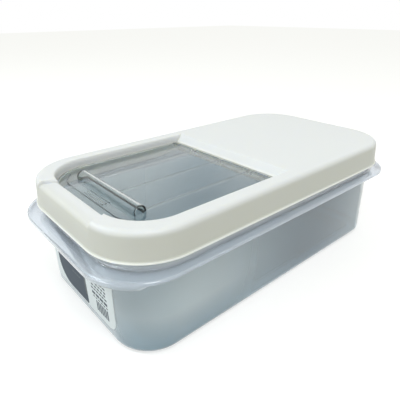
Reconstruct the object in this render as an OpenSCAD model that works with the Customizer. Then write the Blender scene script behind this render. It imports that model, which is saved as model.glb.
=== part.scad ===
// Rice bin with a flip lid: a clear tub, a white cap with a window, a clear
// flip lid that hinges in the window, and a label on the front wall.
// Origin: centre of the footprint, on the table. +Z up, the front looks along -Y.

/* [Tub] */
// Width over the neck above the shelf
rim_width = 192.5; // [170:0.5:230]
// Length over the neck above the shelf
rim_length = 370; // [340:0.5:420]
// Corner radius of the neck
rim_radius = 51; // [42:0.5:56]
// How far the neck stands out past the walls under the shelf at the sides
neck_step_side = 2; // [1:0.5:3]
// How far the neck stands out past the walls under the shelf at the ends
neck_step_end = 4; // [1:0.5:6]
// How much smaller the walls' corner radius is than the neck's, just under the shelf
neck_step_corner = 2; // [0:0.5:4]
// Gap between the rim and the cap's lowest inner face
rim_gap = 0.7; // [0.4:0.1:1.5]
// Width over the walls at the foot
foot_width = 185; // [160:0.5:192]
// Length over the walls at the foot
foot_length = 359; // [320:0.5:368]
// Corner radius of the walls at the foot
foot_radius = 37; // [24:0.5:48]
// Radius of the rounded edge under the tub
foot_round = 8; // [4:0.5:12]
// Thickness of the tub walls
tub_wall = 2.2; // [1.6:0.1:3]
// Thickness of the tub floor
floor_thickness = 2.4; // [1.6:0.1:4]
// Height of the raised pad on the floor
pad_rise = 1.4; // [0.8:0.1:2]
// Distance from the outer wall to the edge of the floor pad at the sides
pad_inset = 15; // [12:0.5:24]
// Distance from the outer wall to the edge of the floor pad at the ends
pad_inset_end = 21.5; // [14:0.5:30]
// Corner radius of the floor pad
pad_radius = 14; // [8:0.5:30]

/* [Carrying shelf] */
// Height of the shelf's top above the table
shelf_height = 85.4; // [80:0.2:90]
// Thickness of the shelf and of its lip
shelf_thickness = 2; // [1.5:0.1:3]
// How far the shelf reaches past the rim at the sides
side_reach = 9.2; // [7:0.1:14]
// How far the shelf reaches past the rim at the ends
end_reach = 13.5; // [10:0.5:22]
// Corner radius of the shelf
shelf_radius = 53; // [44:0.5:64]
// Radius of the shelf's rounded edge
shoulder_round = 1.5; // [1:0.1:1.8]
// Drop of the lip below the shelf's underside along the sides
side_lip = 0.8; // [0.4:0.1:2.4]
// Drop of the lip below the shelf's underside around the ends
end_lip = 3.7; // [3:0.1:10]
// Length of each deep end lip along the bin, from the tip of the shelf
end_lip_length = 28; // [20:1:60]
// Length of the slope that joins the deep lip to the shallow one
lip_slope = 5; // [3:0.5:15]

/* [White cap] */
// Height of the closed bin
bin_height = 120; // [118.5:0.1:126]
// Thickness of the cap's walls and top
cap_wall = 1.8; // [1.4:0.1:2.4]
// Play between the tub's rim and the cap's skirt
cap_play = 0.5; // [0.3:0.1:1]
// Outward flare of the skirt on each side, from its top to its bottom
skirt_flare = 1.5; // [0.8:0.1:2.5]
// Radius of the rounded edge round the cap's top
cap_round = 5; // [3:0.5:7]
// Height of the tub's neck between the shelf and the skirt's lower edge
neck_height = 8.8; // [5:0.1:12]
// How far the bead on the skirt's lower edge stands out
bead_out = 0.7; // [0.4:0.1:1.2]
// Height of the bead on the skirt's lower edge
bead_height = 2.4; // [1.5:0.1:4]
// Width of the dip in the front of the cap's top
dip_width = 97; // [60:1:110]
// Depth of the dip
dip_depth = 3; // [1:0.1:3.5]

/* [Window in the cap] */
// Width of the window
window_width = 162.4; // [130:0.2:166]
// Length of the window below its rear slope
window_length = 167; // [120:0.5:180]
// Width of the band between the cap's front face and the window
front_band = 17.3; // [16:0.1:40]
// Corner radius at the front of the window
window_radius = 40; // [30:0.5:50]
// Height of the slope behind the window
rear_slope = 8; // [5:0.5:10]
// Thickness of the collar that hangs round the window
collar_wall = 2; // [1.5:0.1:3]
// Depth of the collar below the cap's top
collar_depth = 23; // [18:0.5:26]
// Width of the ledge that the flip lid lies on
ledge_width = 2.6; // [2:0.1:4]
// Thickness of the ledge
ledge_thickness = 1.6; // [1.2:0.1:2.5]

/* [Flip lid] */
// Depth of the flip lid's face below the cap's top
face_depth = 8; // [7.5:0.1:10]
// Thickness of the flip lid's plate
plate_thickness = 2; // [1.5:0.1:2.6]
// Play between the plate's edge and the window
plate_play = 0.7; // [0.5:0.1:1.2]
// Gap between the plate's underside and the ledge
ledge_gap = 0.3; // [0.2:0.1:0.6]
// Radius of the hinge barrel
barrel_radius = 3; // [2.6:0.1:3.4]
// Gap between the hinge barrel and the wall behind it
barrel_gap = 1.2; // [1:0.1:2]
// Radius of the hinge pins
pin_radius = 2; // [1.5:0.1:2.3]
// Radial clearance of the pins in their sockets
pin_clearance = 0.05; // [0.03:0.01:0.1]
// Length of the pin inside its socket
pin_length = 3.4; // [2.5:0.1:4.5]
// Play between the end of each pin and the end of its socket
pin_end_play = 0.6; // [0.3:0.1:1]
// Wall of the socket round the pin
socket_wall = 2.4; // [1.8:0.1:3]
// Thickness of the socket's closed end
socket_cap = 1.2; // [0.8:0.1:1.6]
// Distance of the outer stiffening ribs from the middle
rib_spacing = 44; // [30:1:60]
// Width of the stiffening ribs
rib_width = 1.4; // [1:0.1:2]
// Depth of the stiffening ribs below the plate
rib_depth = 1.8; // [1:0.1:2.5]
// Width of the gaps that part the hinge barrel at the ribs
barrel_slot = 5.6; // [3:0.2:10]
// Thickness of the barrel left over each gap
barrel_bridge = 2.4; // [1.5:0.1:2.5]

/* [Grip on the flip lid] */
// Length of the grip across the lid
grip_length = 102; // [70:1:124]
// Width of the grip along the lid
grip_width = 12; // [10:0.5:14]
// Height of the grip above the plate
grip_height = 7.6; // [7:0.1:7.8]
// Wall of the hollow grip
grip_wall = 1.5; // [1.2:0.1:2]
// Distance from the window's front edge to the middle of the grip
grip_setback = 27; // [24:0.5:34]
// Height of the ridge round the finger well and of the thumb ridges
ridge_height = 0.9; // [0.5:0.1:1.5]
// Width of the ridges
ridge_width = 1.3; // [1:0.1:2]
// Distance from the plate's edge to the ridge round the finger well
well_inset = 8; // [6:0.5:9]
// Length of the thumb ridges
thumb_length = 34; // [20:1:60]
// Distance between the thumb ridges
thumb_spacing = 3.2; // [2.4:0.1:4]
// Distance from the grip to the middle thumb ridge
thumb_offset = 6; // [5:0.5:7]

/* [Label] */
// Left edge of the label, measured from the middle of the front
label_left = 60; // [54:1:62]
// Right edge of the label, measured from the middle of the front
label_right = 59; // [54:1:64]
// Height of the label's lower edge above the table
label_bottom = 13.5; // [12:0.5:16]
// Gap between the label and the underside of the shelf
label_gap = 2.4; // [1:0.1:4]
// Thickness of the label
label_thickness = 0.3; // [0.2:0.05:0.5]
// Radius of the label's corners
label_round = 12; // [2:0.5:14]
// Left edge of the dark panel, measured from the middle of the front
panel_left = 48; // [42:1:50]
// Right edge of the dark panel, measured from the middle of the front
panel_right = 10; // [6:1:20]
// Margin of the label above and below the dark panel
panel_margin = 1.5; // [1:0.5:5]
// Radius of the dark panel's two left corners
panel_round = 22; // [4:1:23]
// Thickness of the dark panel
panel_thickness = 0.15; // [0.1:0.05:0.3]

/* [Hidden] */
$fn = 64;
slab = 0.02;
cut = 1;
corner_steps = 16;
round_steps = 4;

dip_height = bin_height - dip_depth;
rim_height = dip_height - cap_wall - rim_gap;
wall_width = rim_width - 2 * neck_step_side;
wall_length = rim_length - 2 * neck_step_end;
wall_radius = rim_radius - neck_step_corner;
cap_top_width = rim_width + 2 * (cap_play + cap_wall);
cap_top_length = rim_length + 2 * (cap_play + cap_wall);
cap_top_radius = rim_radius + cap_play + cap_wall;
skirt_bottom = shelf_height + neck_height;
skirt_width = cap_top_width + 2 * skirt_flare;
skirt_length = cap_top_length + 2 * skirt_flare;
skirt_radius = cap_top_radius + skirt_flare;
shelf_width = rim_width + 2 * side_reach;
shelf_length = rim_length + 2 * end_reach;
shelf_underside = shelf_height - shelf_thickness;
wall_top = shelf_height - shelf_thickness / 2;
side_lip_bottom = shelf_underside - side_lip;
end_lip_bottom = shelf_underside - end_lip;
label_top = shelf_underside - label_gap;

window_front = -cap_top_length / 2 + front_band;
window_rear = window_front + window_length;
slope_rear = window_rear + rear_slope;
collar_bottom = bin_height - collar_depth;
face_height = bin_height - face_depth;
plate_bottom = face_height - plate_thickness;
ledge_top = plate_bottom - ledge_gap;
barrel_y = window_rear - barrel_gap - barrel_radius;
barrel_z = face_height - barrel_radius;
socket_radius = pin_radius + socket_wall;
pin_end = window_width / 2 + pin_length;
socket_end = pin_end + pin_end_play;
socket_back = socket_end + socket_cap;
grip_y = window_front + grip_setback;
grip_radius = grip_width / 2;
grip_axis_z = face_height + grip_height - grip_radius;

// A rectangle w by l with round corners, centred
module rounded_rect(w, l, r) {
    square([w - 2 * r, l], center = true);
    square([w, l - 2 * r], center = true);
    for (sx = [-1, 1])
        for (sy = [-1, 1])
            translate([sx * (w / 2 - r), sy * (l / 2 - r)])
                circle(r);
}

// The points round that rectangle at height z, counted anticlockwise from above
function ring(w, l, r, z) = [
    for (corner = [0 : 3])
        for (step = [0 : corner_steps])
            let (
                turn = 90 * (corner + step / corner_steps),
                right = corner == 0 || corner == 3 ? 1 : -1,
                back = corner < 2 ? 1 : -1
            )
            [
                right * (w / 2 - r) + r * cos(turn),
                back * (l / 2 - r) + r * sin(turn),
                z
            ]
];

// A closed solid through a stack of rings, from the lowest to the highest
module loft(rings) {
    n = len(rings[0]);
    last = (len(rings) - 1) * n;
    polyhedron(
        points = [for (layer = rings) each layer],
        faces = concat(
            [[for (i = [0 : n - 1]) i]],
            [
                for (low = [0 : n : last - n])
                    for (i = [0 : n - 1])
                        [low + i, low + n + i, low + n + (i + 1) % n, low + (i + 1) % n]
            ],
            [[for (i = [n - 1 : -1 : 0]) last + i]]
        ),
        convexity = 4
    );
}

// Straight-line mix between the foot of the tub and its walls at the shelf
function tub_width_at(z) = foot_width + (wall_width - foot_width) * z / shelf_height;
function tub_length_at(z) = foot_length + (wall_length - foot_length) * z / shelf_height;
function tub_radius_at(z) = foot_radius + (wall_radius - foot_radius) * z / shelf_height;

// One ring of the tub's body at height z, pulled inwards by pull
function tub_ring(z, pull) =
    ring(tub_width_at(z) - 2 * pull, tub_length_at(z) - 2 * pull, tub_radius_at(z) - pull, z);

// The tapered body of the tub, moved inwards by inset, with a rounded lower edge
module tub_form(inset, bottom, top) {
    edge = foot_round - inset;
    loft(concat(
        [
            for (i = [0 : round_steps])
                let (turn = 90 * i / round_steps)
                tub_ring(bottom + edge * (1 - cos(turn)), inset + edge * (1 - sin(turn)))
        ],
        [tub_ring(top, inset)]
    ));
}

// The outside or inside of the shelf and its lip, moved inwards by inset, with a rounded edge
module shelf_form(inset, edge, bottom, top) {
    loft(concat(
        [ring(shelf_width - 2 * inset, shelf_length - 2 * inset, shelf_radius - inset, bottom)],
        [
            for (i = [0 : round_steps])
                let (turn = 90 * i / round_steps, pull = inset + edge * (1 - cos(turn)))
                ring(
                    shelf_width - 2 * pull,
                    shelf_length - 2 * pull,
                    shelf_radius - pull,
                    top - edge * (1 - sin(turn))
                )
        ]
    ));
}

// What is cut away below the lip: deep at the ends, shallow along the sides
module lip_cut() {
    far = shelf_length / 2 - end_lip_length;
    translate([shelf_width / 2 + cut, 0, 0])
        rotate([0, -90, 0])
            linear_extrude(shelf_width + 2 * cut)
                polygon([
                    [end_lip_bottom - cut, -far - lip_slope],
                    [end_lip_bottom, -far - lip_slope],
                    [side_lip_bottom, -far],
                    [side_lip_bottom, far],
                    [end_lip_bottom, far + lip_slope],
                    [end_lip_bottom - cut, far + lip_slope]
                ]);
}

// The neck above the shelf, moved inwards by inset
module neck_form(inset, bottom, top) {
    translate([0, 0, bottom])
        linear_extrude(top - bottom)
            rounded_rect(rim_width - 2 * inset, rim_length - 2 * inset, rim_radius - inset);
}

module tub() {
    color([0.72, 0.78, 0.80, 0.45])
    difference() {
        union() {
            tub_form(0, 0, wall_top);
            neck_form(0, wall_top, rim_height);
            difference() {
                shelf_form(0, shoulder_round, end_lip_bottom, shelf_height);
                shelf_form(shelf_thickness, shoulder_round / 2, end_lip_bottom - cut, shelf_underside);
                lip_cut();
            }
        }
        difference() {
            tub_form(tub_wall, floor_thickness, shelf_height + slab);
            linear_extrude(floor_thickness + pad_rise)
                rounded_rect(foot_width - 2 * pad_inset, foot_length - 2 * pad_inset_end, pad_radius);
        }
        neck_form(tub_wall, shelf_height, rim_height + cut);
    }
}

// A sheet of the given thickness on the front wall, cut to the outline given as a child
module wall_sheet(lift, thickness) {
    difference() {
        intersection() {
            tub_form(-lift - thickness, 0, wall_top);
            rotate([90, 0, 0])
                linear_extrude(foot_length)
                    children();
        }
        tub_form(-lift, 0, wall_top);
    }
}

// A round-cornered rectangle between two corners
module box_outline(left, bottom, right, top, r) {
    translate([(left + right) / 2, (bottom + top) / 2])
        rounded_rect(right - left, top - bottom, r);
}

module front_label() {
    color([0.93, 0.94, 0.94])
        wall_sheet(0, label_thickness)
            box_outline(-label_left, label_bottom, label_right, label_top, label_round);
}

module label_panel() {
    bottom = label_bottom + panel_margin;
    top = label_top - panel_margin;
    color([0.25, 0.28, 0.31])
        wall_sheet(label_thickness, panel_thickness) {
            box_outline(-panel_left, bottom, panel_right, top, panel_round);
            translate([panel_right - panel_round, bottom])
                square([panel_round, top - bottom]);
        }
}

// The window's outline grown by grow, with its straight rear edge at y = rear
module window_outline(grow, rear) {
    r = window_radius + grow;
    w = window_width + 2 * grow;
    front = window_front - grow;
    intersection() {
        union() {
            translate([-w / 2, front + r])
                square([w, window_length + 2 * r]);
            translate([-w / 2 + r, front])
                square([w - 2 * r, r + cut]);
            for (side = [-1, 1])
                translate([side * (w / 2 - r), front + r])
                    circle(r);
        }
        translate([-w / 2 - cut, front - cut])
            square([w + 2 * cut, rear - front + cut]);
    }
}

// A bar along X with the given outline in the YZ plane
module cross_bar(length) {
    translate([-length / 2, 0, 0])
        rotate([90, 0, 90])
            linear_extrude(length)
                children();
}

// The cap's outside or inside skin, moved inwards by inset
module cap_form(inset, bottom, top) {
    edge = cap_round - inset;
    loft(concat(
        [ring(skirt_width - 2 * inset, skirt_length - 2 * inset, skirt_radius - inset, bottom)],
        [
            for (i = [0 : round_steps])
                let (turn = 90 * i / round_steps, pull = inset + edge * (1 - cos(turn)))
                ring(
                    cap_top_width - 2 * pull,
                    cap_top_length - 2 * pull,
                    cap_top_radius - pull,
                    top - edge * (1 - sin(turn))
                )
        ]
    ));
}

module hinge_sockets() {
    for (side = [-1, 1])
        translate([side * (window_width / 2 + collar_wall / 2), barrel_y, barrel_z])
            rotate([0, side * 90, 0])
                cylinder(h = socket_back - window_width / 2 - collar_wall / 2, r = socket_radius);
}

module cap() {
    color([0.95, 0.96, 0.95])
    difference() {
        union() {
            difference() {
                union() {
                    cap_form(0, skirt_bottom, bin_height);
                    translate([0, 0, skirt_bottom])
                        linear_extrude(bead_height)
                            rounded_rect(
                                skirt_width + 2 * bead_out,
                                skirt_length + 2 * bead_out,
                                skirt_radius + bead_out
                            );
                }
                cap_form(cap_wall, skirt_bottom - cut, bin_height - cap_wall);
            }
            translate([0, 0, collar_bottom])
                linear_extrude(collar_depth - cap_wall / 2)
                    window_outline(collar_wall, slope_rear + collar_wall);
            hinge_sockets();
            // the floor of the dip in the front
            translate([
                -dip_width / 2 - cap_wall,
                -cap_top_length / 2 + cap_wall / 2,
                dip_height - cap_wall
            ])
                cube([dip_width + 2 * cap_wall, front_band, cap_wall]);
        }
        // the dip in the front
        translate([-dip_width / 2, -skirt_length / 2 - cut, dip_height])
            cube([dip_width, skirt_length / 2 + window_front + window_radius, dip_depth + cut]);
        // the window itself, down to the ledge and on through the collar
        translate([0, 0, ledge_top])
            linear_extrude(bin_height)
                window_outline(0, window_rear);
        translate([0, 0, collar_bottom - cut])
            linear_extrude(ledge_top - ledge_thickness - collar_bottom + cut)
                window_outline(0, window_rear);
        translate([0, 0, collar_bottom])
            linear_extrude(collar_depth)
                window_outline(-ledge_width, window_rear - barrel_gap - 2 * barrel_radius);
        translate([-window_width / 2, barrel_y - barrel_radius - barrel_gap, collar_bottom])
            cube([window_width, 2 * barrel_radius + 2 * barrel_gap, collar_depth]);
        // the slope behind the window, and the hollow under it
        cross_bar(window_width)
            polygon([
                [window_rear - slab, bin_height - rear_slope],
                [slope_rear, bin_height],
                [slope_rear, bin_height + cut],
                [window_rear - slab, bin_height + cut]
            ]);
        cross_bar(window_width)
            polygon([
                [window_rear + collar_wall, collar_bottom - cut],
                [window_rear + collar_wall, bin_height - rear_slope - collar_wall / 2],
                [slope_rear + collar_wall / 2, bin_height - cap_wall],
                [slope_rear + collar_wall + cut, bin_height - cap_wall],
                [slope_rear + collar_wall + cut, collar_bottom - cut]
            ]);
        // the sockets' bores
        for (side = [-1, 1])
            translate([side * (window_width / 2 - cut), barrel_y, barrel_z])
                rotate([0, side * 90, 0])
                    cylinder(h = socket_end - window_width / 2 + cut, r = pin_radius + pin_clearance);
    }
}

// The grip's half-round outline in the YZ plane, moved inwards by inset
module grip_outline(inset, bottom) {
    r = grip_radius - inset;
    intersection() {
        union() {
            translate([grip_y, grip_axis_z])
                circle(r);
            translate([grip_y - r, bottom])
                square([2 * r, grip_axis_z - bottom]);
        }
        translate([grip_y - r, bottom])
            square([2 * r, grip_axis_z + r - bottom]);
    }
}

module flip_lid() {
    plate_half = window_width / 2 - plate_play;
    rib_front = grip_y + grip_radius;
    color([0.80, 0.84, 0.85, 0.4])
    difference() {
        union() {
            translate([0, 0, plate_bottom])
                linear_extrude(plate_thickness)
                    window_outline(-plate_play, barrel_y);
            // the hinge barrel and its two pins
            translate([-plate_half, barrel_y, barrel_z])
                rotate([0, 90, 0])
                    cylinder(h = 2 * plate_half, r = barrel_radius);
            for (side = [-1, 1])
                translate([side * (plate_half - cut), barrel_y, barrel_z])
                    rotate([0, side * 90, 0])
                        cylinder(h = pin_end - plate_half + cut, r = pin_radius);
            // stiffening ribs under the plate
            for (place = [-1, 0, 1])
                translate([place * rib_spacing - rib_width / 2, rib_front, plate_bottom - rib_depth])
                    cube([rib_width, barrel_y - rib_front, rib_depth + slab]);
            cross_bar(grip_length)
                grip_outline(0, plate_bottom);
            // the ridge round the finger well
            translate([0, 0, face_height - slab])
                linear_extrude(ridge_height + slab)
                    difference() {
                        window_outline(-plate_play - well_inset, grip_y - grip_radius - ridge_width);
                        window_outline(
                            -plate_play - well_inset - ridge_width,
                            grip_y - grip_radius
                        );
                    }
            // plain thumb ridges in the finger well
            for (i = [-1 : 1])
                translate([
                    -thumb_length / 2,
                    grip_y - grip_radius - thumb_offset + i * thumb_spacing - ridge_width / 2,
                    face_height - slab
                ])
                    cube([thumb_length, ridge_width, ridge_height + slab]);
        }
        // the hollow of the grip, open underneath
        cross_bar(grip_length - 2 * grip_wall)
            grip_outline(grip_wall, plate_bottom - cut);
        // gaps that part the hinge barrel at the ribs
        for (place = [-1, 0, 1])
            translate([
                place * rib_spacing - barrel_slot / 2,
                barrel_y - barrel_radius - cut,
                barrel_z - barrel_radius - cut
            ])
                cube([
                    barrel_slot,
                    2 * barrel_radius + 2 * cut,
                    2 * barrel_radius - barrel_bridge + cut
                ]);
    }
}

tub();
front_label();
label_panel();
cap();
flip_lid();
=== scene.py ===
import math

import bmesh
import bpy
from mathutils import Matrix, Vector


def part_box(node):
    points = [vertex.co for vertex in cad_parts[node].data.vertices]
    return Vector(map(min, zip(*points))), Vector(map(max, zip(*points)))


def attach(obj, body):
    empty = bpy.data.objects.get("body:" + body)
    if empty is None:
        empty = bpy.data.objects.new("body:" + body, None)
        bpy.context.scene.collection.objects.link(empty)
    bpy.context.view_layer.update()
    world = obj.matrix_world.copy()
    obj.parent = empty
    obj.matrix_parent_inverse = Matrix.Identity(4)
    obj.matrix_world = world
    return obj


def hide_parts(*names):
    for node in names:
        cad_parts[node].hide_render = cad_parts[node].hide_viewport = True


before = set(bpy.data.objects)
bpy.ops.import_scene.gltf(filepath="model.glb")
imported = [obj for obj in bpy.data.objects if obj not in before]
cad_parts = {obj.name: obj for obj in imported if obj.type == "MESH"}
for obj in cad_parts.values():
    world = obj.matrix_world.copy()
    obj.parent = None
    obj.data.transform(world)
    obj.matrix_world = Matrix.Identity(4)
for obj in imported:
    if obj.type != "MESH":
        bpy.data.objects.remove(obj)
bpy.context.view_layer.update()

# A flat rice bin: a milky tub with a carrying shelf, a white cap with a window, a clear lid
# hinged in the window, and a sticker on the front wall. The front looks along -Y.

# ---------------------------------------------------------------- sizes, in millimetres

MM = 0.001
TUB_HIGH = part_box("tub")[1] / MM
CAP_LOW, CAP_HIGH = (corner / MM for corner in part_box("cap"))

# the sticker, its dark field and their print
STICKER_BOX = [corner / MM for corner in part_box("front_label")]
FIELD_BOX = [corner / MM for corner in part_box("label_panel")]
STICKER_CORNERS = (12, 12)
FIELD_CORNERS = (22, 1)
GLUE = 0.02
PAPER_LIFT = 0.3
FIELD_DEPTH = 0.12
PRINT_DEPTH = 0.1
# each row of bars: how many, x and z of the first one's middle, step, width and height
SMALL_PRINT = (
    (2, 24.5, 67.0, 5.4, 3.6, 2.2),
    (1, 29.0, 62.5, 0, 3.4, 2.4),
    (6, 22.8, 57.5, 4.8, 3.4, 1.7),
    (5, 23.8, 53.8, 5.6, 4.2, 1.7),
    (6, 22.8, 50.0, 4.8, 3.2, 1.7),
    (5, 24.2, 46.3, 5.3, 3.8, 1.7),
    (6, 23.0, 42.5, 4.8, 3.6, 1.7),
    (4, 24.8, 37.6, 7.0, 5.8, 2.8),
    (6, 24.4, 33.6, 4.6, 3.0, 1.3),
    (7, 28.6, 25.6, 3.1, 1.9, 11.0),
)
FIELD_PRINT = (
    (6, -24.0, 58.0, 4.4, 3.0, 1.2),
    (7, -24.0, 53.5, 4.4, 3.0, 1.2),
    (5, -21.0, 49.0, 4.4, 3.0, 1.2),
    (6, -21.0, 44.5, 4.4, 3.0, 1.2),
    (4, -16.0, 38.0, 4.4, 3.0, 1.2),
    (1, 8.4, 46.0, 0, 2.2, 40.0),
)

# the tub's neck above the shelf, its walls from the foot to the shelf, and its floor
RIM_HEIGHT = TUB_HIGH.z
RIM_HALF = (96.25, 185.0)
RIM_RADIUS = 51.0
WALL_HALF = (94.25, 181.0)
WALL_RADIUS = 49.0
FOOT_HALF = (92.5, 179.5)
FOOT_RADIUS = 37.0
FOOT_ROUND = 8.0
TUB_WALL = 2.2
FLOOR = 2.4
PAD_RISE = 1.4
PAD_INSET = (15.0, 21.5)
PAD_RADIUS = 14.0
PAD_EDGE = 0.7
PAD_HALF = [half - inset for half, inset in zip(FOOT_HALF, PAD_INSET)]
HOLLOW_RISE = 0.6
FILLET = 1.2
NECK_STEP = 0.7

# the carrying shelf
SHELF_HALF = (TUB_HIGH.x, TUB_HIGH.y)
SHELF_RADIUS = 53.0
SHELF_TOP = 85.4
SHELF_THICKNESS = 2.0
SHOULDER = 2.0
LIP_EDGE = 0.6
SIDE_LIP = 2.8
END_LIP = 5.7
END_LIP_START = SHELF_HALF[1] - 28.0
LIP_SLOPE = 5.0

# the cap
CAP_TOP = CAP_HIGH.z
SKIRT_BOTTOM = CAP_LOW.z
CAP_WALL = 1.8
BEAD_OUT = 0.7
BEAD_LIP = 1.2
BEAD_HEIGHT = 2.4
SKIRT_FLARE = 1.5
SKIRT_HALF = (CAP_HIGH.x - BEAD_OUT, CAP_HIGH.y - BEAD_OUT)
SKIRT_RADIUS = 54.8
CAP_ROUND = 5.0
DIP_OUTER = 49.0
DIP_INNER = 43.0
DIP_FRONT = -(SKIRT_HALF[1] - SKIRT_FLARE - CAP_ROUND)
DIP_STEPS = (-0.9, -0.5, -0.25, 0, 0.25, 0.5, 0.9)
DIP_DEPTH = 3.0

# the window in the cap and its collar
WINDOW_HALF = 81.2
WINDOW_FRONT = -170.0
WINDOW_REAR = -3.0
WINDOW_RADIUS = 40.0
REAR_SLOPE = 8.0
CREST_WIDTH = 2.0
CREST_DEPTH = 6.0
COLLAR_WALL = 2.0
COLLAR_BOTTOM = CAP_TOP - 23.0
REAR_RISE = 3.0
REAR_RISE_FROM = -34.0
REAR_RISE_RUN = 26.0
LEDGE_WIDTH = 2.6
LEDGE_TOP = CAP_TOP - 10.3
LEDGE_THICKNESS = 1.6
LEDGE_REAR = -11.4

# the flip lid and its hinge
FACE = CAP_TOP - 8.0
PLATE_BOTTOM = FACE - 2.0
PLATE_PLAY = 0.7
PLATE_EDGE = 0.4
HINGE_Y = -7.2
HINGE_Z = 109.0
BARREL_RADIUS = 3.0
BARREL_BRIDGE = 2.4
BARREL_SLOT = 5.6
SLOT_DEPTH = 10.0
PIN_RADIUS = 2.0
PIN_END = 84.6
SOCKET_RADIUS = 4.4
SOCKET_DEPTH = 85.2
SOCKET_END = 86.4
SOCKET_EDGE = 0.5
PIN_CLEARANCE = 0.05
PIN_EDGE = 0.4
RIB_SPACING = 44.0
RIB_WIDTH = 1.4
RIB_DEPTH = 1.8
RIB_EDGE = 0.2
GRIP_HALF = 51.0
GRIP_Y = WINDOW_FRONT + 27.0
GRIP_RADIUS = 6.0
GRIP_AXIS_Z = FACE + 1.6
GRIP_WALL = 1.5
GRIP_EDGE = 0.7
RIDGE_HEIGHT = 0.9
RIDGE_WIDTH = 1.3
RIDGE_EDGE = 0.3
RIDGE_SINK = 0.5
WELL_INSET = PLATE_PLAY + 8.0
THUMB_LENGTH = 34.0
THUMB_SPACING = 3.2
THUMB_OFFSET = 6.0
# how far solids that join reach into each other, and tools past what they cut
OVERLAP = 1.0

# how finely the rounded outlines are divided
CORNER_STEPS = 40
SIDE_STEPS = 24
END_STEPS = 12


# ---------------------------------------------------------------- camera

def add_camera():
    """A camera off the front right corner of the bin, a little above it and turned slightly."""
    azimuth, elevation, roll = math.radians(49.23), math.radians(25.85), math.radians(-0.316)
    target = Vector((0, 0, 0.0698))
    distance, aside, upward = 0.4469, -0.0274, -0.0089
    back = Vector((
        math.sin(azimuth) * math.cos(elevation),
        -math.cos(azimuth) * math.cos(elevation),
        math.sin(elevation),
    ))
    right = (-back).cross(Vector((0, 0, 1))).normalized()
    up = right.cross(-back)
    right, up = (
        right * math.cos(roll) + up * math.sin(roll),
        up * math.cos(roll) - right * math.sin(roll),
    )
    data = bpy.data.cameras.new("camera")
    data.sensor_width = 36
    data.lens = 34.93
    camera = add_object("camera", data)
    stand = Matrix((right, up, back)).transposed().to_4x4()
    stand.translation = target + back * distance + right * aside + up * upward
    camera.matrix_world = stand
    bpy.context.scene.camera = camera
    bpy.context.scene.view_settings.view_transform = "Standard"


# ---------------------------------------------------------------- mesh helpers

def closed_mesh(name, verts, faces, weld):
    """A closed mesh from points in millimetres, with points nearer than weld merged."""
    mesh = bpy.data.meshes.new(name)
    mesh.from_pydata([Vector(v) * MM for v in verts], [], faces)
    edit = bmesh.new()
    edit.from_mesh(mesh)
    bmesh.ops.remove_doubles(edit, verts=edit.verts, dist=weld * MM)
    bmesh.ops.recalc_face_normals(edit, faces=edit.faces)
    edit.to_mesh(mesh)
    edit.free()
    return mesh


def add_object(name, data):
    """A new object in the scene, at the origin."""
    thing = bpy.data.objects.new(name, data)
    bpy.context.scene.collection.objects.link(thing)
    return thing


def finish_piece(name, mesh, body, material, sharp=35):
    """The finished object of a mesh, riding on a body of the frame. Edges of more than
    sharp degrees stay sharp."""
    mesh.shade_smooth()
    mesh.set_sharp_from_angle(angle=math.radians(sharp))
    mesh.materials.clear()
    mesh.materials.append(material)
    piece = add_object(name, mesh)
    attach(piece, body)
    return piece


def make_piece(name, verts, faces, body, material):
    """A finished piece straight from points in millimetres."""
    mesh = closed_mesh(name, verts, faces, 0.004)
    return finish_piece(name, mesh, body, material)


def loose_solid(verts, faces):
    """A closed solid from points in millimetres that later joins a piece."""
    return add_object("solid", closed_mesh("solid", verts, faces, 0.002))


def spread(start, end, steps):
    """Evenly spaced numbers from start to end, both included."""
    return [start + (end - start) * i / steps for i in range(steps + 1)]


def arc(steps):
    """Cosine and sine of evenly spaced angles from 0 to 90 degrees."""
    return [(math.cos(math.radians(a)), math.sin(math.radians(a))) for a in spread(0, 90, steps)]


def between(a, b, t):
    return a + (b - a) * t


def clamp(t):
    return min(1, max(0, t))


def smooth(t):
    """0 to 1 with a soft start and end."""
    t = clamp(t)
    return t * t * (3 - 2 * t)


def rounded_outline(low, high, front_radius, rear_radius, marks=(), run=None):
    """Points round a rectangle with round corners, anticlockwise from its front right corner.

    marks are distances from the middle line at which the front corners also have points,
    and run gives y of each point along the sides.
    """
    (x0, y0), (x1, y1) = low, high
    points = []
    for sx, sy in ((1, -1), (1, 1), (-1, 1), (-1, -1)):
        r = front_radius if sy < 0 else rear_radius
        cx, cy = (x1 if sx > 0 else x0) - sx * r, (y0 if sy < 0 else y1) - sy * r
        if sy < 0 and marks:
            first = [math.asin(clamp((m - abs(cx)) / r)) for m in marks]
            turns = [0] + first + spread(first[-1], math.pi / 2, CORNER_STEPS - len(marks))[1:]
        else:
            turns = spread(0, math.pi / 2, CORNER_STEPS)
        corner = [(cx + sx * r * math.sin(t), cy + sy * r * math.cos(t)) for t in turns]
        if sx * sy > 0:
            corner.reverse()
        points.append(corner)
    whole = []
    sides = run or spread(y0 + front_radius, y1 - rear_radius, SIDE_STEPS)[1:-1]
    ends = spread(0, 1, END_STEPS)[1:-1]
    whole += points[0] + [(x1, y) for y in sides] + points[1]
    whole += [(between(points[1][-1][0], points[2][0][0], t), y1) for t in ends]
    whole += points[2] + [(x0, y) for y in reversed(sides)] + points[3]
    whole += [(between(points[3][-1][0], points[0][0][0], t), y0) for t in ends]
    return whole


def centred_outline(half, inset, radius):
    """A rounded outline about the middle of the bin, moved inwards."""
    x, y = (side - inset for side in half)
    return rounded_outline((-x, -y), (x, y), radius - inset, radius - inset)


def at_height(outline, z):
    return [(x, y, z) for x, y in outline]


def mix_rings(a, b, steps):
    """The rings between two rings, without the two themselves."""
    return [
        [tuple(between(p[k], q[k], i / steps) for k in range(3)) for p, q in zip(a, b)]
        for i in range(1, steps)
    ]


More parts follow.
